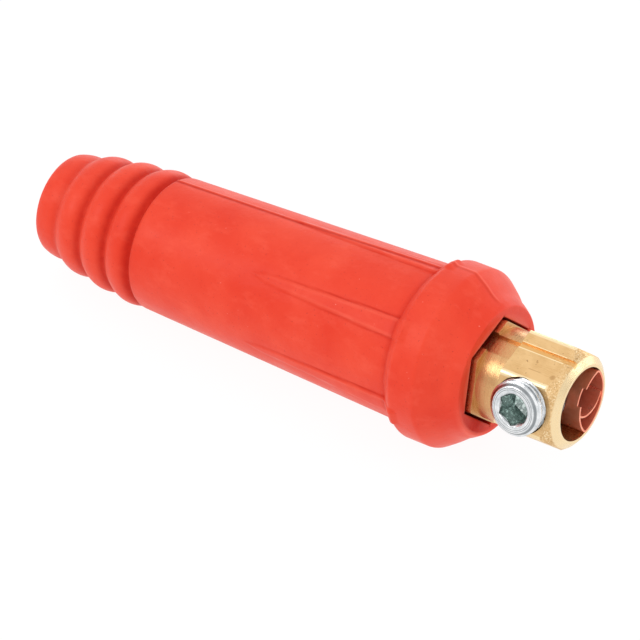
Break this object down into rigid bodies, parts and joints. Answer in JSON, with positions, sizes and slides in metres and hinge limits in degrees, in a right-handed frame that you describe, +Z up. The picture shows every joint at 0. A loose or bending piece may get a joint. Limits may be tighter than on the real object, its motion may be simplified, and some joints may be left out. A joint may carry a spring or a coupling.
{
  "type": "welding cable plug",
  "caption": "Twist lock welding cable plug: ribbed rubber sleeve with a flared collar, and a brass contact put in backward, its hexagonal clamp end, set screw and copper liner outside.",
  "frame": {"origin": "centre of the bounding box, at the floor the plug lies on", "axes": "+X toward the brass clamp end, +Z up, -Y the side of the clamp screw"},
  "size_m": [0.1334, 0.0386, 0.0387],
  "materials": {
    "sleeve_rubber": "matte",
    "contact_brass": "satin",
    "screw_steel": "bright zinc plated",
    "liner_copper": "rolled copper foil"
  },
  "bodies": {
    "sleeve": {"rubber_sleeve": "sleeve_rubber"},
    "contact": {"brass_contact": "contact_brass", "copper_liner": "liner_copper"},
    "screw": {"clamp_screw": "screw_steel"}
  },
  "joints": [
    {"name": "contact_slide", "type": "slide", "parent": "sleeve", "child": "contact", "axis": [0.9984, 0, 0.0572], "range_m": [-0.0058, 0.037]},
    {"name": "screw_travel", "type": "slide", "parent": "contact", "child": "screw", "axis": [-0.0143, -0.9681, 0.25], "range_m": [-0.0002, 0.004]}
  ]
}
